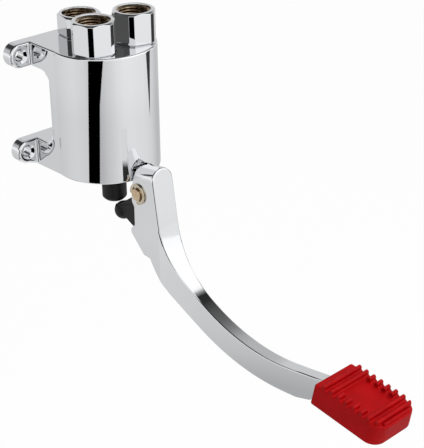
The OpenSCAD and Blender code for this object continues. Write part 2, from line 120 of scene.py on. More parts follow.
def chrome_plate():
    """Chromium plate on polished cast brass: a near mirror, with a faint waviness left by the polishing
    wheel and a slight haze that comes and goes over a few centimetres."""
    material, tree = fresh("polished_chrome_plate")
    place = add(tree, "ShaderNodeTexCoord").outputs["Object"]
    cloud = add(tree, "ShaderNodeTexNoise", None, Vector=place, Scale=scale_for(25), Detail=3.0)
    haze = add(tree, "ShaderNodeMapRange", None, Value=cloud, To_Min=0.015, To_Max=0.045)
    wheel = add(tree, "ShaderNodeTexNoise", None, Vector=place, Scale=scale_for(14), Detail=1.0)
    wave = add(tree, "ShaderNodeBump", None, Height=wheel, Strength=0.12, Distance=0.02 * MM)
    plate = add(tree, "ShaderNodeBsdfPrincipled", None, Base_Color=linear("#E4E5E7"), Metallic=1.0, Roughness=haze,
                Normal=wave)
    add(tree, "ShaderNodeOutputMaterial", None, Surface=plate)
    return material


def brass(name, dark, light, dull, bright):
    """Turned brass: warm and brownish, duller where the cutting oil stained it. In the threads the colours run
    darker, partly stains and partly painted shade of the deep bore, and the cut flanks brighter."""
    material, tree = fresh(name)
    place = add(tree, "ShaderNodeTexCoord").outputs["Object"]
    stain_and_painted_shade = add(tree, "ShaderNodeTexNoise", None, Vector=place, Scale=scale_for(3), Detail=3.0)
    colour = add(tree, "ShaderNodeValToRGB", {"stops": [(0.3, linear(dark)), (0.7, linear(light))]}, Fac=stain_and_painted_shade)
    sheen = add(tree, "ShaderNodeMapRange", None, Value=stain_and_painted_shade, To_Min=dull, To_Max=bright)
    marks = add(tree, "ShaderNodeTexNoise", None, Vector=place, Scale=scale_for(0.6), Detail=3.0)
    cut = add(tree, "ShaderNodeBump", None, Height=marks, Strength=0.15, Distance=0.03 * MM)
    metal = add(tree, "ShaderNodeBsdfPrincipled", None, Base_Color=colour, Metallic=1.0, Roughness=sheen, Normal=cut)
    add(tree, "ShaderNodeOutputMaterial", None, Surface=metal)
    return material


def stainless_steel():
    """Drawn stainless steel: grey and softly bright, with fine drawing marks."""
    material, tree = fresh("drawn_stainless_steel")
    place = add(tree, "ShaderNodeTexCoord").outputs["Object"]
    marks = add(tree, "ShaderNodeTexNoise", None, Vector=place, Scale=scale_for(0.8), Detail=3.0)
    sheen = add(tree, "ShaderNodeMapRange", None, Value=marks, To_Min=0.22, To_Max=0.36)
    drawn = add(tree, "ShaderNodeBump", None, Height=marks, Strength=0.1, Distance=0.02 * MM)
    metal = add(tree, "ShaderNodeBsdfPrincipled", None, Base_Color=linear("#B9B8B5"), Metallic=1.0, Roughness=sheen,
                Normal=drawn)
    add(tree, "ShaderNodeOutputMaterial", None, Surface=metal)
    return material


def clip_steel():
    """Spring steel with a yellow passivated coat: pale brass tints that drift across the clip."""
    material, tree = fresh("passivated_spring_steel")
    place = add(tree, "ShaderNodeTexCoord").outputs["Object"]
    drift = add(tree, "ShaderNodeTexNoise", None, Vector=place, Scale=scale_for(4), Detail=3.0)
    tints = [(0.3, linear("#BFAF92")), (0.55, linear("#D2C7B2")), (0.75, linear("#B9A894"))]
    tint = add(tree, "ShaderNodeValToRGB", {"stops": tints}, Fac=drift)
    metal = add(tree, "ShaderNodeBsdfPrincipled", None, Base_Color=tint, Metallic=1.0, Roughness=0.3)
    add(tree, "ShaderNodeOutputMaterial", None, Surface=metal)
    return material


def moulded(name, code, roughness, gloss, grain, depth):
    """A moulded plastic or rubber: one dyed colour, a little uneven, with the mould's fine spark grain.
    The grain is drawn coarser than it is, so that it shows."""
    material, tree = fresh(name)
    place = add(tree, "ShaderNodeTexCoord").outputs["Object"]
    cloud = add(tree, "ShaderNodeTexNoise", None, Vector=place, Scale=scale_for(9), Detail=3.0)
    dye = linear(code)[:3]
    shades = [(0.25, [c * 0.88 for c in dye] + [1]), (0.75, [min(1.0, c * 1.1) for c in dye] + [1])]
    colour = add(tree, "ShaderNodeValToRGB", {"stops": shades}, Fac=cloud)
    spark = add(tree, "ShaderNodeTexNoise", None, Vector=place, Scale=scale_for(grain), Detail=2.0)
    sheen = add(tree, "ShaderNodeMapRange", None, Value=spark, To_Min=roughness - 0.06, To_Max=roughness + 0.08)
    skin = add(tree, "ShaderNodeBump", None, Height=spark, Strength=0.35, Distance=depth * MM)
    body = add(tree, "ShaderNodeBsdfPrincipled", None, Base_Color=colour, Metallic=0.0, Roughness=sheen,
               Specular_IOR_Level=gloss, Normal=skin)
    add(tree, "ShaderNodeOutputMaterial", None, Surface=body)
    return material


CHROME = chrome_plate()
MATERIALS = {
    "chrome_body": CHROME,
    "chrome_lever": CHROME,
    "brass": brass("machined_brass", "#C4A986", "#DECBB0", 0.38, 0.22),
    # The thread brass is darker than the machined brass: partly oil stains, partly painted shade deep in the bore
    "thread_brass": brass("stained_brass_with_painted_shade", "#6E553A", "#CDBBA2", 0.24, 0.12),
    "steel": stainless_steel(),
    "clip_steel": clip_steel(),
    "black_nylon": moulded("moulded_black_nylon", "#18181A", 0.5, 0.25, 0.7, 0.03),
    "white_nylon": moulded("moulded_white_nylon", "#D8D6D0", 0.4, 0.5, 0.7, 0.02),
    "seal_rubber": moulded("moulded_nitrile_rubber", "#1E1E1E", 0.6, 0.3, 0.5, 0.02),
    "red_rubber": moulded("moulded_red_rubber", "#A7050A", 0.5, 0.06, 0.6, 0.03),
}

SLOTS = {}
for row in frame["record"]["subparts"]:
    node = frame["nodes"][row["node"]]
    node.data.materials.clear()
    node.data.materials.append(MATERIALS[row["material_slot"]])
    SLOTS[row["node"]] = row["material_slot"]


# Making pieces

TOUCHING, NEEDLE = 0.002, 0.004     # vertices this near are one; faces this thin are dissolved
FLAT_ANGLE, SHARP_ANGLE = 0.3, 28   # degrees between faces that are one flat, and at edges to be rounded
SAME_FACE, SAME_SIDE, SAME_BEND = 0.992, 0.9, 0.75  # cosines between normals in true_normals
CAD_CORNERS, CAD_REACH = 16, 3.0    # CAD corners looked at round a vertex, and how far off they may be


def placed(name, bm):
    """A mesh as an object of the scene."""
    mesh = bpy.data.meshes.new(name)
    bm.to_mesh(mesh)
    bm.free()
    made = bpy.data.objects.new(name, mesh)
    bpy.context.scene.collection.objects.link(made)
    return made


def settled(*holders):
    """The first passing object's mesh with its modifiers carried out, without needle faces."""
    bm = bmesh.new()
    bm.from_object(holders[0], bpy.context.evaluated_depsgraph_get())
    for holder in holders:
        mesh = holder.data
        bpy.data.objects.remove(holder)
        bpy.data.meshes.remove(mesh)
    bmesh.ops.remove_doubles(bm, verts=bm.verts, dist=NEEDLE * MM)
    bmesh.ops.dissolve_degenerate(bm, dist=NEEDLE * MM, edges=bm.edges)
    return bm


def joined(bm, other, how="UNION"):
    """One closed solid from two meshes that run into each other, or what they share."""
    first, second = placed("held", bm), placed("held", other)
    weld = first.modifiers.new("joining", "BOOLEAN")
    weld.operation = how
    weld.solver = "EXACT"
    weld.use_self = True
    weld.object = second
    return settled(first, second)


def bevel(bm, geom, radius, segments, affect="EDGES", clamp=False):
    """Rounds edges, or the corners of a flat face, to a radius in millimetres."""
    bmesh.ops.bevel(bm, geom=geom, offset=radius * MM, offset_type="OFFSET", affect=affect, segments=segments,
                    profile=0.5, material=-1, clamp_overlap=clamp)


def new_verts(geom):
    """The vertices among what an operator made."""
    return [g for g in geom if isinstance(g, bmesh.types.BMVert)]


def about(axis, degrees, size=3):
    """A turn about an axis."""
    return Matrix.Rotation(math.radians(degrees), size, axis)


def copy_of(node):
    """A merged copy of a CAD node's mesh, with its flat faces made whole."""
    bm = bmesh.new()
    bm.from_mesh(frame["nodes"][node].data)
    bmesh.ops.remove_doubles(bm, verts=bm.verts, dist=TOUCHING * MM)
    bmesh.ops.dissolve_limit(bm, angle_limit=math.radians(FLAT_ANGLE), verts=bm.verts, edges=bm.edges)
    return bm


def round_edges(bm, rules, segments=3, slide=True):
    """Rounds sharp edges. Each rule is a radius in millimetres and a test of an edge's middle and direction,
    and the first that holds counts."""
    width = max(size for size, test in rules)
    weight = bm.edges.layers.float.new("bevel_weight_edge")
    for edge in bm.edges:
        if len(edge.link_faces) == 2 and edge.calc_face_angle(0.0) > math.radians(SHARP_ANGLE):
            middle = (edge.verts[0].co + edge.verts[1].co) / 2 / MM
            along = (edge.verts[1].co - edge.verts[0].co).normalized()
            for size, test in rules:
                if test(middle, along):
                    edge[weight] = size / width
                    break
    holder = placed("held", bm)
    turn = holder.modifiers.new("rounding", "BEVEL")
    turn.limit_method = "WEIGHT"
    turn.width = width * MM
    turn.segments = segments
    turn.use_clamp_overlap = False
    turn.loop_slide = slide
    return settled(holder)


def true_normals(mesh, node=None):
    """Gives a rounded copy the CAD surface's own normals, and its rounded edges a blend into them.
    Without a node, all its edges blend by the size of the faces round them."""
    tree, owner, cad = KDTree(0), [], None
    if node:
        cad = frame["nodes"][node].data
        tree = KDTree(len(cad.loops))
        owner = [None] * len(cad.loops)
        for face in cad.polygons:
            for loop in face.loop_indices:
                tree.insert(cad.vertices[cad.loops[loop].vertex_index].co, loop)
                owner[loop] = face.normal
    tree.balance()
    around = [[] for vertex in mesh.vertices]
    for face in mesh.polygons:
        for vertex in face.vertices:
            around[vertex].append(face)
    normals = []
    for face in mesh.polygons:
        for vertex in face.vertices:
            best = None
            for _, loop, far in tree.find_n(mesh.vertices[vertex].co, CAD_CORNERS):
                if owner[loop].dot(face.normal) > SAME_FACE and far < CAD_REACH * MM:
                    best = cad.corner_normals[loop].vector
                    break
            if best is None or best.dot(face.normal) < SAME_SIDE:
                best = Vector()
                for other in around[vertex]:
                    if other.normal.dot(face.normal) > SAME_BEND:
                        best += other.normal * other.area
            normals.append(best.normalized())
    mesh.normals_split_custom_set(normals)


def piece(bm, name, body, slot, *nodes, like=None, blend=False, sharp=40):
    """Makes the mesh an object that rides on a body and stands for CAD nodes."""
    made = placed(name, bm)
    mesh = made.data
    mesh.materials.clear()
    mesh.materials.append(MATERIALS[slot])
    mesh.shade_smooth()
    if like or blend:
        true_normals(mesh, like)
    else:
        mesh.set_sharp_from_angle(angle=math.radians(sharp))
    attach(made, body)
    if nodes:
        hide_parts(*nodes)
    return made


def rounded_node(node, name, body, rules, segments=3, slide=True):
    """Stands a copy of a CAD node with rounded edges in its place."""
    piece(round_edges(copy_of(node), rules, segments, slide), name, body, SLOTS[node], node, like=node)


def everywhere(m, along):
    """A rule's test that holds for any edge."""
    return True


# The cast body

EAR_X, EAR_Z, EAR_ROOT_X = 40.5, 32.0, 33.0
DISH_IN, DISH_OUT = 4.4, 5.2
WALL_EDGE, EAR_FACE, LUG_ROOT, LUG_FACE = -0.5, -8.5, -72.0, -74.0
BARREL_R, SOCKET_SEAT_R, LUG_BORE = 33.0, 10.6, 6.0


def body_casting():
    """The cast body: rolled rims, rounded ears with filleted roots, softened holes."""
    def from_hole(m):
        return math.hypot(abs(m.x) - EAR_X, abs(m.z) - EAR_Z)

    def dish(m, along):
        return m.y > EAR_FACE and DISH_IN < from_hole(m) < DISH_OUT

    def ear(m, along):
        return EAR_FACE < m.y < WALL_EDGE and abs(m.x) > EAR_ROOT_X and from_hole(m) > DISH_OUT

    def rim(m, along):
        outside = math.hypot(m.x, m.y - BODY_Y) > BARREL_R or m.y > BODY_Y
        bored = min(math.hypot(abs(m.x) - INLET_X, m.y - INLET_Y), math.hypot(m.x, m.y - OUTLET_Y)) < SOCKET_SEAT_R
        return outside and not bored and LUG_ROOT < m.y < WALL_EDGE and abs(along.z) < 0.5

    def lug(m, along):
        return m.y < LUG_FACE and math.hypot(m.y - PIN[1], m.z - PIN[2]) > LUG_BORE

    rounded_node("body", "body_casting", "valve_body", [(0.5, dish), (1.8, ear), (0.7, lug), (1.2, rim)],
                 segments=4, slide=False)


# The pipe sockets: middle, top and thread depth of each, and the turn of its hexagon in degrees

SOCKETS = {
    "hot": (-INLET_X, INLET_Y, 59.75, 14.5, 45),
    "cold": (INLET_X, INLET_Y, 59.75, 14.5, 45),
    "out": (0.0, OUTLET_Y, 52.95, 10.4, 25),
}
HEX_R, CORNER_CUT, FOOT_CUT, TOP_CUT_ANGLE, TOP_CUT_DROP = 14.72, 2.0, 0.9, 30, 0.1
RIM_R, MOUTH_R, MOUTH_T = 12.35, 10.7, 1.3
BORE_R, ROOT_R, PITCH = 9.3, 10.45, 1.814
LAND_R, LAND_T, DUCT_R, SPIGOT_R, SPIGOT_T = 8.0, 1.2, 6.5, 10.0, 9.9
SOCKET_EDGE, SOCKET_EDGE_ANGLE = 0.2, 20
THREAD_LOW, THREAD_HIGH, THREAD_STEPS = 1.1, 1.6, 40   # from the floor, from the top, and steps in a turn


def pipe_socket(name):
    """A hexagonal socket: corners turned off flat, a turned chamfer above and below, a round rim, an open bore."""
    x, y, top, deep, turn = SOCKETS[name]
    middle = mm(x, y, 0)
    bm = bmesh.new()
    # The operator puts its first corner on +Y
    stand = Matrix.Translation(mm(x, y, BODY_TOP + FOOT_CUT)) @ about("Z", turn - 90, 4)
    bmesh.ops.create_circle(bm, segments=6, radius=HEX_R * MM, matrix=stand)
    bevel(bm, bm.verts[:], CORNER_CUT, 1, "VERTICES")
    # Cut up finely, so that the chamfer bows over each flat and corner
    for longer, cuts in ((6, 9), (2, 2)):
        sides = [e for e in bm.edges if e.calc_length() > longer * MM]
        bmesh.ops.subdivide_edges(bm, edges=sides, cuts=cuts)
    foot = bm.edges[:]

    def step(edges, place):
        """Extrudes a ring of edges to the radius and height that place gives for each old radius."""
        grown = bmesh.ops.extrude_edge_only(bm, edges=edges)["geom"]
        for v in new_verts(grown):
            out = v.co.xy - middle.xy
            radius, z = place(out.length / MM)
            v.co.xy = middle.xy + out.normalized() * radius * MM
            v.co.z = z * MM
        return [e for e in grown if isinstance(e, bmesh.types.BMEdge) and e.is_boundary]

    fall = math.tan(math.radians(TOP_CUT_ANGLE))
    ring = step(foot, lambda r: (r, top - (r - RIM_R) * fall - TOP_CUT_DROP))
    floor_z, duct_z, spigot_z = top - deep, top - deep - LAND_T, BODY_TOP - SPIGOT_T
    for radius, z in ((RIM_R, top), (MOUTH_R, top), (ROOT_R, top - MOUTH_T), (ROOT_R, floor_z), (LAND_R, floor_z),
                      (LAND_R, duct_z), (DUCT_R, duct_z), (DUCT_R, spigot_z), (SPIGOT_R, spigot_z),
                      (SPIGOT_R, BODY_TOP)):
        ring = step(ring, lambda r: (radius, z))
    under = step(foot, lambda r: (r - FOOT_CUT, BODY_TOP))
    bmesh.ops.bridge_loops(bm, edges=ring + under)
    bmesh.ops.recalc_face_normals(bm, faces=bm.faces)
    sharp = [e for e in bm.edges if e.calc_face_angle(0.0) > math.radians(SOCKET_EDGE_ANGLE)
             and min(v.co.z for v in e.verts) > (BODY_TOP - 0.01) * MM
             and min((v.co - middle).xy.length for v in e.verts) > SOCKET_SEAT_R * MM]
    bevel(bm, sharp, SOCKET_EDGE, 2, clamp=True)
    piece(bm, "pipe_socket_" + name, "valve_body", "chrome_body", "socket_" + name, blend=True)


def pipe_thread(name):
    """The socket's female pipe thread, a 55 degree ridge of 14 turns to the inch with a rounded crest."""
    x, y, top, deep = SOCKETS[name][:4]
    low, high = top - deep + THREAD_LOW, top - THREAD_HIGH
    turns = (high - low) / PITCH
    bm = bmesh.new()
    section = [(ROOT_R + 0.1, -0.9), (ROOT_R - 0.15, -0.8), (BORE_R + 0.14, -0.2), (BORE_R, 0.0),
               (BORE_R + 0.14, 0.2), (ROOT_R - 0.15, 0.8), (ROOT_R + 0.1, 0.9)]
    start = bm.faces.new([bm.verts.new(mm(x + r, y, low + z)) for r, z in section])
    steps = int(turns * THREAD_STEPS)
    bmesh.ops.spin(bm, geom=[start] + list(start.edges) + list(start.verts), cent=mm(x, y, 0), axis=(0, 0, 1),
                   dvec=mm(0, 0, PITCH * turns / steps), angle=2 * math.pi * turns, steps=steps, use_merge=False)
    bmesh.ops.recalc_face_normals(bm, faces=bm.faces)
    piece(bm, "pipe_thread_" + name, "valve_body", "thread_brass", sharp=50)


# The lever: parts of its side view, each from and to along Y, then along Z

NECK_STEP, NECK_STEP_H = (-213.0, -210.5, -117.0, 0.0), 0.4
BLADE_END = (-225.0, -214.0, -140.0, -120.0)
BLADE_TIP = (-225.0, -214.0, -126.16, -120.0)
BLADE_LEAD = (-212.0, -209.0, -140.0, -130.0)
TIP_Y, TIP_HOLLOW = -221.11, -2.2   # the upper half of the round end is turned over and drawn out
END_MOVE, LEAD_MOVE = (0, -4.4, 2.2), (0, -1.0, 0.5)
FORK_X, FORK_BACK, PIN_BORE = 4.9, -100.0, 4.3
HEAD_FROM, HEAD_TO, HEAD_LOW = -110.0, -82.0, -80.0
NECK_Y, BLADE_Y = -232.0, -207.0     # edges beyond these stay sharp: in the pad, and at the blade's end


def lever_casting():
    """The lever: softly rounded edges along the blade, finer ones inside the fork, a blade that ends in a round
    and runs hollow into the pad's neck."""
    def fork(m, along):
        return m.y > FORK_BACK and abs(abs(m.x) - FORK_X) < 0.06

    def bore(m, along):
        return math.hypot(m.y - PIN[1], m.z - PIN[2]) < PIN_BORE

    def in_pad(m, along):
        return m.y < NECK_Y

    def blade_end(m, along):
        return m.y < BLADE_Y and m.z < -119 - 0.18 * (m.y + 212)   # under the neck

    def head_front(m, along):
        return HEAD_FROM < m.y < HEAD_TO and m.z > HEAD_LOW

    def part(box):
        y_from, y_to, z_from, z_to = (side * MM for side in box)
        return [v for v in bm.verts if y_from < v.co.y < y_to and z_from < v.co.z < z_to]

    bm = copy_of("lever")
    bmesh.ops.remove_doubles(bm, verts=part(NECK_STEP), dist=NECK_STEP_H * MM)
    end, tip, lead = part(BLADE_END), part(BLADE_TIP), part(BLADE_LEAD)
    bmesh.ops.scale(bm, verts=tip, vec=(1.0, TIP_HOLLOW, 1.0), space=Matrix.Translation(mm(0, -TIP_Y, 0)))
    bmesh.ops.translate(bm, verts=end, vec=mm(*END_MOVE))
    bmesh.ops.translate(bm, verts=lead, vec=mm(*LEAD_MOVE))
    rules = [(0.0, in_pad), (0.0, blade_end), (0.3, bore), (0.3, fork), (1.3, head_front), (0.9, everywhere)]
    piece(round_edges(bm, rules), "lever_casting", "pedal", "chrome_lever", "lever", like="lever")


# The rubber pad, drawn flat with the top's back edge at the origin, then sloped and moved

PAD_AT, PAD_SLOPE = (0.0, -235.54, -106.82), 6.6
PAD_L, PAD_W, PAD_T, PAD_FLARE, PAD_UNDERCUT = 49.3, 31.0, 13.0, 1.8, 1.4
FRONT_CORNER, BACK_CORNER, PAD_ROLL = 8.0, 1.5, 1.1
RIB_COUNT, RIB_FIRST, RIB_PITCH, RIB_W, RIB_H, RIB_FILLET, RIB_ROOT = 8, -6.6, 5.4, 2.4, 2.8, 0.9, 0.6
SHORT_RIB_L, SHORT_RIB_IN = 5.0, 2.7    # the ribs beside the flat panel
LIP_L, LIP_W, LIP_H, LIP_FILLET, LIP_IN = 22.0, 3.0, 1.6, 0.2, 2.0
LONG_RIB_SHORTER, LAST_RIB_SHORTER = 0.4, 2.6
RIB_END, RIB_END_ANGLE, RIB_END_Z = 0.4, 50, 0.3
TRIM_H, TRIM_SCALE = 1.35, 0.975     # the block that trims the ribs, against the pad's own


def rubber_rib(bm, x, y, length, width, height, fillet):
    """One moulded rib along X: a round top, filleted into the pad at its foot."""
    half, foot, sunk, near = width / 2, width / 2 + fillet + 0.1, -0.02, x - length / 2
    section = [(-foot, -RIB_ROOT), (foot, -RIB_ROOT), (foot, sunk), (half, sunk), (half, height), (-half, height),
               (-half, sunk), (-foot, sunk)]
    verts = [bm.verts.new(mm(near, y + a, b)) for a, b in section]
    bm.faces.new(verts)
    for corners, radius in ((verts[4:6], half - 0.05), ([verts[3], verts[6]], fillet)):
        bevel(bm, corners, radius, 5, "VERTICES")
    face = next(f for f in bm.faces if abs(f.calc_center_median().x - mm(near, 0, 0).x) < 1e-6
                and abs(f.calc_center_median().y / MM - y) < 0.5)
    far = bmesh.ops.extrude_face_region(bm, geom=[face], use_keep_orig=True)["geom"]
    bmesh.ops.translate(bm, verts=new_verts(far), vec=mm(length, 0, 0))


def pad_block(height, top_scale):
    """The pad's plan with big front corners, drawn out upwards from its underside, with its top scaled."""
    bm = bmesh.new()
    wide, long = PAD_W / 2 + PAD_FLARE, PAD_L - PAD_UNDERCUT
    corners = [bm.verts.new(mm(x, y, -PAD_T)) for x, y in ((-wide, 0), (-wide, -long), (wide, -long), (wide, 0))]
    bm.faces.new(corners)
    bevel(bm, corners[1:3], FRONT_CORNER, 10, "VERTICES")
    bevel(bm, corners[::3], BACK_CORNER, 4, "VERTICES")
    top = new_verts(bmesh.ops.extrude_face_region(bm, geom=list(bm.faces), use_keep_orig=True)["geom"])
    bmesh.ops.translate(bm, verts=top, vec=mm(0, 0, height))
    bmesh.ops.scale(bm, verts=top, vec=(PAD_W / 2 / wide * top_scale, PAD_L / long * top_scale, 1.0))
    bmesh.ops.recalc_face_normals(bm, faces=bm.faces)
    return bm


def pedal_rubber():
    """The moulded pad: flared sides, big front corners, rolled edges, filleted ribs and a small front lip.
    The ribs are trimmed to the pad's plan and joined to it."""
    bm = pad_block(PAD_T, 1.0)
    rims = [e for e in bm.edges if abs(e.verts[0].co.z - e.verts[1].co.z) < 1e-6]
    bevel(bm, rims, PAD_ROLL, 4)
    ribs = bmesh.new()
    for i in range(RIB_COUNT):
        y = RIB_FIRST - RIB_PITCH * i
        if i < 2 or i > 5:
            shorter = LAST_RIB_SHORTER if i == RIB_COUNT - 1 else LONG_RIB_SHORTER
            rubber_rib(ribs, 0, y, PAD_W - shorter, RIB_W, RIB_H, RIB_FILLET)
        else:
            for side in (-1, 1):
                rubber_rib(ribs, side * (PAD_W / 2 - SHORT_RIB_IN), y, SHORT_RIB_L, RIB_W, RIB_H, RIB_FILLET)
    rubber_rib(ribs, 0, LIP_IN - PAD_L, LIP_L, LIP_W, LIP_H, LIP_FILLET)
    bmesh.ops.recalc_face_normals(ribs, faces=ribs.faces)
    ends = [e for e in ribs.edges if len(e.link_faces) == 2 and e.calc_face_angle(0.0) > math.radians(RIB_END_ANGLE)
            and min(v.co.z for v in e.verts) > RIB_END_Z * MM]
    bevel(ribs, ends, RIB_END, 3, clamp=True)
    bm = joined(bm, joined(ribs, pad_block(TRIM_H * PAD_T, TRIM_SCALE), "INTERSECT"))
    bm.transform(Matrix.Translation(mm(*PAD_AT)) @ about("X", PAD_SLOPE, 4))
    piece(bm, "pedal_rubber", "pedal", "red_rubber", "pedal_pad", blend=True)


# The spring and the clips

SPRING_STEPS = 48   # in a turn
CLIP_NEAR_SIDES = (-9.4, 8.4)
CLIP_SECTION = ((0, 4.9), (1, 4.9), (1, 6.8), (0, 6.8))     # along the pin, and out from its middle
CLIP_START, CLIP_SWEEP = -7, 284
PRONGS = ((10, 2.0), (135, 2.6), (260, 2.0))    # angle and width
PRONG_T, PRONG_L, PRONG_R, CLIP_MIDDLE = 0.98, 2.3, 4.4, 0.5
CLIP_EDGE, CLIP_EDGE_ANGLE, CLIP_STEPS = 0.15, 0.8, 48     # the angle in radians


def coil_spring():
    """The return spring in round wire, with a closed half turn at each end."""
    wire, coil, low, high, turns = 0.7, 5.8, 10.3, 26.0, 4
    bm = bmesh.new()
    ring = bmesh.ops.create_circle(bm, cap_ends=True, segments=14, radius=wire * MM)["verts"]
    bmesh.ops.rotate(bm, verts=ring, cent=(0, 0, 0), matrix=about("X", 90))
    bmesh.ops.translate(bm, verts=ring, vec=mm(coil, STEM_Y, low + wire))
    last = list(bm.faces) + list(bm.edges) + list(bm.verts)
    for coils, rise in ((0.5, 0.0), (turns, high - low - 2 * wire), (0.5, 0.0)):
        steps = int(SPRING_STEPS * coils)
        last = bmesh.ops.spin(bm, geom=last, cent=mm(0, STEM_Y, 0), axis=(0, 0, 1), dvec=mm(0, 0, rise / steps),
                              angle=2 * math.pi * coils, steps=steps, use_merge=False)["geom_last"]
    bmesh.ops.remove_doubles(bm, verts=bm.verts, dist=TOUCHING * MM)
    bmesh.ops.recalc_face_normals(bm, faces=bm.faces)
    spring = piece(bm, "coil_spring", "valve_stem", "steel", "return_spring", sharp=60)
    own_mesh(spring)


def retaining_clips():
    """Two E-clips in the pin's grooves: a sprung ring, open at the lower back, with three prongs."""
    rings, prongs = bmesh.new(), bmesh.new()
    pivot = mm(*PIN)
    for near in CLIP_NEAR_SIDES:
        start = rings.faces.new([rings.verts.new(mm(near + t, PIN[1] + r, PIN[2])) for t, r in CLIP_SECTION])
        geom = [start] + list(start.edges) + list(start.verts)
        bmesh.ops.rotate(rings, verts=start.verts[:], cent=pivot, matrix=about("X", CLIP_START))
        bmesh.ops.spin(rings, geom=geom, cent=pivot, axis=(1, 0, 0), dvec=(0, 0, 0), angle=math.radians(CLIP_SWEEP),
                       steps=CLIP_STEPS, use_merge=False)
        for turn, width in PRONGS:
            prong = bmesh.ops.create_cube(prongs, size=MM)["verts"]
            bmesh.ops.scale(prongs, verts=prong, vec=(PRONG_T, PRONG_L, width))
            bmesh.ops.translate(prongs, verts=prong, vec=mm(near + CLIP_MIDDLE, PIN[1] + PRONG_R, PIN[2]))
            bmesh.ops.rotate(prongs, verts=prong, cent=pivot, matrix=about("X", turn))
    for bm in (rings, prongs):
        bmesh.ops.recalc_face_normals(bm, faces=bm.faces)
        edges = [e for e in bm.edges if len(e.link_faces) == 2 and e.calc_face_angle(0.0) > CLIP_EDGE_ANGLE]
        bevel(bm, edges, CLIP_EDGE, 2, clamp=True)
    piece(joined(rings, prongs), "retaining_clips", "pedal", "clip_steel", "pin_clips")


body_casting()
for socket_name in SOCKETS:
    pipe_socket(socket_name)
    pipe_thread(socket_name)
lever_casting()
pedal_rubber()
coil_spring()
retaining_clips()
rounded_node("button", "stem_button", "valve_stem", [(0.5, everywhere)])
rounded_node("pusher", "pusher_nose", "pedal", [(0.6, everywhere)])
rounded_node("pivot_pin", "pivot_shaft", "pedal", [(0.35, lambda m, along: abs(m.x) > 10)])


# Studio: floor, light tent with dark cards, ceiling, flags, lamps, world and camera

CAMERA_AZ, CAMERA_EL, CAMERA_ROLL = -42.576, 27.470, -0.407
CAMERA_AIM, CAMERA_OFF = (0, -60, -20.25), (51.546, -51.587, 763.771)   # off to the right, up and back
SENSOR, FOCAL_PIXELS, PHOTO_PIXELS = 36.0, 1224.07, 448     # of the long side
STAGE_HALF = 6000.0
FLOOR_WHITE = 0.96
WHITE = linear("#FFFFFF")
LAMP_TARGET, LAMP_SIZE = (0, -100, -20), 500


def staged(name, bm, material):
    """A studio object, which isn't part of the valve."""
    made = placed(name, bm)
    made.data.materials.append(material)
    return made


def reflector(name, bm, material, tree, colour, strength=1.0):
    """A glowing studio cloth that reflections alone see."""
    glow = add(tree, "ShaderNodeEmission", None, Color=colour, Strength=strength)
    add(tree, "ShaderNodeOutputMaterial", None, Surface=glow)
    made = staged(name, bm, material)
    for kind in ("camera", "diffuse", "transmission", "volume_scatter", "shadow"):
        setattr(made, "visible_" + kind, False)


def level_sheet(z):
    """A wide level sheet at a height."""
    bm = bmesh.new()
    bmesh.ops.create_grid(bm, x_segments=1, y_segments=1, size=STAGE_HALF * MM)
    bmesh.ops.translate(bm, verts=bm.verts, vec=mm(0, 0, z))
    return bm


def seen_directly(tree):
    """1 for rays of the camera and of mirrors and glass, 0 for the light on the object."""
    path = add(tree, "ShaderNodeLightPath")
    seen = add(tree, "ShaderNodeMath", {"operation": "MAXIMUM"}, _0=path.outputs["Is Camera Ray"],
               _1=path.outputs["Is Glossy Ray"])
    return add(tree, "ShaderNodeMath", {"operation": "MAXIMUM"}, _0=seen, _1=path.outputs["Is Transmission Ray"])


def floor():
    """A pale painted floor that looks white and keeps a little of the shadow."""
    material, tree = fresh("pale_floor_paint")
    share = add(tree, "ShaderNodeMath", {"operation": "MULTIPLY"}, _0=seen_directly(tree), _1=FLOOR_WHITE)
    paint = add(tree, "ShaderNodeBsdfDiffuse", None, Color=linear("#F4F4F4"))
    white = add(tree, "ShaderNodeEmission", None, Color=WHITE, Strength=1.0)
    mix = add(tree, "ShaderNodeMixShader", None, _0=share, _1=paint, _2=white)
    add(tree, "ShaderNodeOutputMaterial", None, Surface=mix)
    staged("floor", level_sheet(FLOOR_Z), material)


def greys(pairs):
    """Stops of a ramp from (value, brightness) pairs, over the values from the first to the last."""
    low, high = pairs[0][0], pairs[-1][0]
    return {"stops": [((value - low) / (high - low), (grey, grey, grey, 1.0)) for value, grey in pairs]}


# Brightness of the tent's wall at angles round the body, in degrees from the camera's side
TENT = [(-180, 0.60), (-141, 0.66), (-113, 0.70), (-92, 0.75), (-75, 0.79), (-60, 0.81), (-46, 0.78),
        (-36.5, 0.76), (-7.5, 0.55), (6.4, 0.68), (19, 0.76), (32, 0.85),
        (46, 0.90), (60, 0.91), (75, 0.89), (92, 0.88), (113, 0.80), (141, 0.58), (180, 0.60)]
# Gain of the tent's cloth at heights, brighter towards the softbox; below -480 it lies in towards the middle
TENT_GAIN = [(-640, 0.6), (-530, 0.62), (-502, 0.74), (-480, 0.83), (-450, 0.92), (-420, 0.97), (-390, 0.97),
             (-330, 1.03), (-260, 1.0), (-180, 1.0), (-150, 1.06), (-70, 1.1), (-40, 1.38), (60, 1.45)]
# Dark cards on the wall: height, angle and half width of the lower end, then of the upper end, and brightness
CARDS = [(-260, -26.5, 11.75, -90, -10.0, 11.75, 0.0), (-160, -5.0, 0.0, -110, -5.0, 11.5, 0.0),
         (-186, 110.0, 0.0, -115, 110.0, 7.0, 0.05)]
TENT_R, TENT_TOP, SKIRT_SCALE = 460.0, 60.0, 0.65


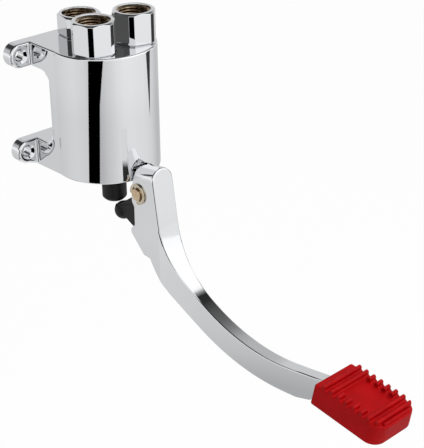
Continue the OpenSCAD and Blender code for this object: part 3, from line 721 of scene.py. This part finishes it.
def light_tent():
    """A round tent wall with a skirt on the floor, and dark cards on it that draw the stripes in the chrome."""
    bm = bmesh.new()
    bmesh.ops.create_cone(bm, cap_ends=False, segments=128, radius1=TENT_R * MM, radius2=TENT_R * MM,
                          depth=(TENT_TOP - FLOOR_Z) * MM)
    hem = [e for e in bm.edges if max(v.co.z for v in e.verts) < 0]
    skirt = new_verts(bmesh.ops.extrude_edge_only(bm, edges=hem)["geom"])
    bmesh.ops.scale(bm, verts=skirt, vec=(SKIRT_SCALE, SKIRT_SCALE, 1.0))
    bmesh.ops.translate(bm, verts=bm.verts, vec=mm(0, BODY_Y, (TENT_TOP + FLOOR_Z) / 2 + 1))
    bmesh.ops.reverse_faces(bm, faces=bm.faces)
    material, tree = fresh("tent_cloth")
    place = add(tree, "ShaderNodeTexCoord").outputs["Object"]
    middle = add(tree, "ShaderNodeMapping", None, Vector=place, Location=mm(0, -BODY_Y, 0))
    turned = add(tree, "ShaderNodeMapping", None, Vector=middle, Rotation=(0, 0, math.radians(90 - CAMERA_AZ)))
    angle = add(tree, "ShaderNodeTexGradient", {"gradient_type": "RADIAL"}, Vector=turned).outputs["Fac"]
    wall = add(tree, "ShaderNodeValToRGB", greys(TENT), Fac=angle)
    height = add(tree, "ShaderNodeSeparateXYZ", None, Vector=place).outputs["Z"]
    flat = add(tree, "ShaderNodeMapping", None, Vector=place, Location=mm(0, -BODY_Y, 0), Scale=(1, 1, 0))
    radius = add(tree, "ShaderNodeVectorMath", {"operation": "LENGTH"}, Vector=flat).outputs["Value"]
    cloth = add(tree, "ShaderNodeMath", {"operation": "ADD"}, _0=height, _1=radius)
    level = add(tree, "ShaderNodeMapRange", None, Value=cloth, From_Min=(TENT_GAIN[0][0] + TENT_R) * MM,
                From_Max=(TENT_GAIN[-1][0] + TENT_R) * MM)
    gain = add(tree, "ShaderNodeValToRGB", greys(TENT_GAIN), Fac=level)
    lit = add(tree, "ShaderNodeMix", {"data_type": "RGBA", "blend_type": "MULTIPLY"}, _0=1.0, _6=wall,
              _7=gain).outputs[2]
    for low, angle_low, half_low, high, angle_high, half_high, grey in CARDS:
        rise = {"Value": height, "From_Min": low * MM, "From_Max": high * MM}
        centre = add(tree, "ShaderNodeMapRange", None, To_Min=angle_low / 360 + 0.5, To_Max=angle_high / 360 + 0.5,
                     **rise)
        half = add(tree, "ShaderNodeMapRange", None, To_Min=half_low / 360, To_Max=half_high / 360, **rise)
        aside = add(tree, "ShaderNodeMath", {"operation": "SUBTRACT"}, _0=angle, _1=centre)
        aside = add(tree, "ShaderNodeMath", {"operation": "ABSOLUTE"}, _0=aside)
        inside = add(tree, "ShaderNodeMath", {"operation": "LESS_THAN"}, _0=aside, _1=half)
        lit = add(tree, "ShaderNodeMix", {"data_type": "RGBA"}, _0=inside, _6=lit,
                  _7=(grey, grey, grey, 1.0)).outputs[2]
    reflector("light_tent", bm, material, tree, lit)


# Brightness of the ceiling from front to back, in millimetres along Y
CEILING = [(-3000, 1.3), (-262, 1.3), (-225, 0.03), (-168, 0.03), (-86, 0.10), (0, 0.15), (89, 0.26), (189, 0.47),
           (305, 0.56), (700, 0.57), (1000, 0.72), (3000, 0.72)]
# The same to the left of the part, where a dark cloth draws the upper edges
CEILING_LEFT = [(-3000, 1.0), (-262, 1.0), (-225, 0.05), (850, 0.05), (1150, 0.6), (3000, 0.6)]
CEILING_Z, CEILING_CHANGE = 600.0, 80.0


def ceiling():
    """A ceiling cloth: a softbox in front, then a dark beam that fades to pale grey."""
    material, tree = fresh("ceiling_cloth")
    place = add(tree, "ShaderNodeTexCoord").outputs["Object"]
    apart = add(tree, "ShaderNodeSeparateXYZ", None, Vector=place)
    level = add(tree, "ShaderNodeMapRange", None, Value=apart.outputs["Y"], From_Min=CEILING[0][0] * MM,
                From_Max=CEILING[-1][0] * MM)
    over = add(tree, "ShaderNodeMapRange", None, Value=apart.outputs["X"], From_Min=0.0, From_Max=CEILING_CHANGE * MM)
    left = add(tree, "ShaderNodeValToRGB", greys(CEILING_LEFT), Fac=level)
    right = add(tree, "ShaderNodeValToRGB", greys(CEILING), Fac=level)
    both = add(tree, "ShaderNodeMix", {"data_type": "RGBA"}, _0=over, _6=left, _7=right)
    reflector("ceiling", level_sheet(CEILING_Z), material, tree, both.outputs[2])


def flag(name, place, turn, size, dark, light, change):
    """A small upright flag: dark below and light above a height given as change."""
    bm = bmesh.new()
    bmesh.ops.create_grid(bm, x_segments=1, y_segments=1, size=0.5 * MM)
    bmesh.ops.scale(bm, verts=bm.verts, vec=(size[0], size[1], 1))
    bmesh.ops.rotate(bm, verts=bm.verts, cent=(0, 0, 0), matrix=about("Z", turn) @ about("X", 90))
    bmesh.ops.translate(bm, verts=bm.verts, vec=mm(*place))
    material, tree = fresh(name + "_cloth")
    where = add(tree, "ShaderNodeTexCoord").outputs["Object"]
    height = add(tree, "ShaderNodeSeparateXYZ", None, Vector=where).outputs["Z"]
    level = add(tree, "ShaderNodeMapRange", None, Value=height, From_Min=(change - 3) * MM,
                From_Max=(change + 3) * MM, To_Min=dark, To_Max=light)
    reflector(name, bm, material, tree, WHITE, level)


def lamp(name, place, power):
    """A round lamp aimed at the valve, which mirrors don't show."""
    data = bpy.data.lights.new(name, "AREA")
    data.shape = "DISK"
    data.size = LAMP_SIZE * MM
    data.energy = power
    made = bpy.data.objects.new(name, data)
    made.location = mm(*place)
    made.rotation_euler = (mm(*place) - mm(*LAMP_TARGET)).to_track_quat("Z", "Y").to_euler()
    bpy.context.scene.collection.objects.link(made)
    made.visible_glossy = False


def world():
    """A white room to the eye, which lights the part more softly than it looks."""
    made = bpy.data.worlds.new("white_studio")
    bpy.context.scene.world = made
    made.use_nodes = True
    tree = made.node_tree
    tree.nodes.clear()
    soft = add(tree, "ShaderNodeBackground", None, Color=WHITE, Strength=0.55)
    white = add(tree, "ShaderNodeBackground", None, Color=WHITE, Strength=1.0)
    mix = add(tree, "ShaderNodeMixShader", None, _0=seen_directly(tree), _1=soft, _2=white)
    add(tree, "ShaderNodeOutputWorld", None, Surface=mix)


def camera():
    """The photograph's camera: from the left, a little above, with a long lens."""
    az, el, roll = (math.radians(a) for a in (CAMERA_AZ, CAMERA_EL, CAMERA_ROLL))
    back = Vector((math.sin(az) * math.cos(el), -math.cos(az) * math.cos(el), math.sin(el)))
    right = Vector((math.cos(az), math.sin(az), 0.0))
    up = back.cross(right)
    right, up = right * math.cos(roll) + up * math.sin(roll), up * math.cos(roll) - right * math.sin(roll)
    turn = Matrix((right, up, back)).transposed()
    data = bpy.data.cameras.new("camera")
    data.sensor_width = SENSOR
    data.lens = SENSOR * FOCAL_PIXELS / PHOTO_PIXELS
    data.clip_start, data.clip_end = 0.05, 20.0
    made = bpy.data.objects.new("camera", data)
    made.matrix_world = Matrix.Translation(mm(*CAMERA_AIM) + turn @ mm(*CAMERA_OFF)) @ turn.to_4x4()
    bpy.context.scene.collection.objects.link(made)
    bpy.context.scene.camera = made


floor()
light_tent()
ceiling()
flag("pad_flag", (-11, -200, -84), 0, (34, 46), 0.03, 0.84, -89)
flag("socket_flag", (0, -50, 50), 90, (17, 19), 0.09, 0.09, 50)
world()
camera()
lamp("key_lamp", (-200, -1000, 700), 5.5)
lamp("fill_lamp", (700, -500, 600), 4.0)
bpy.context.scene.view_settings.view_transform = "Standard"
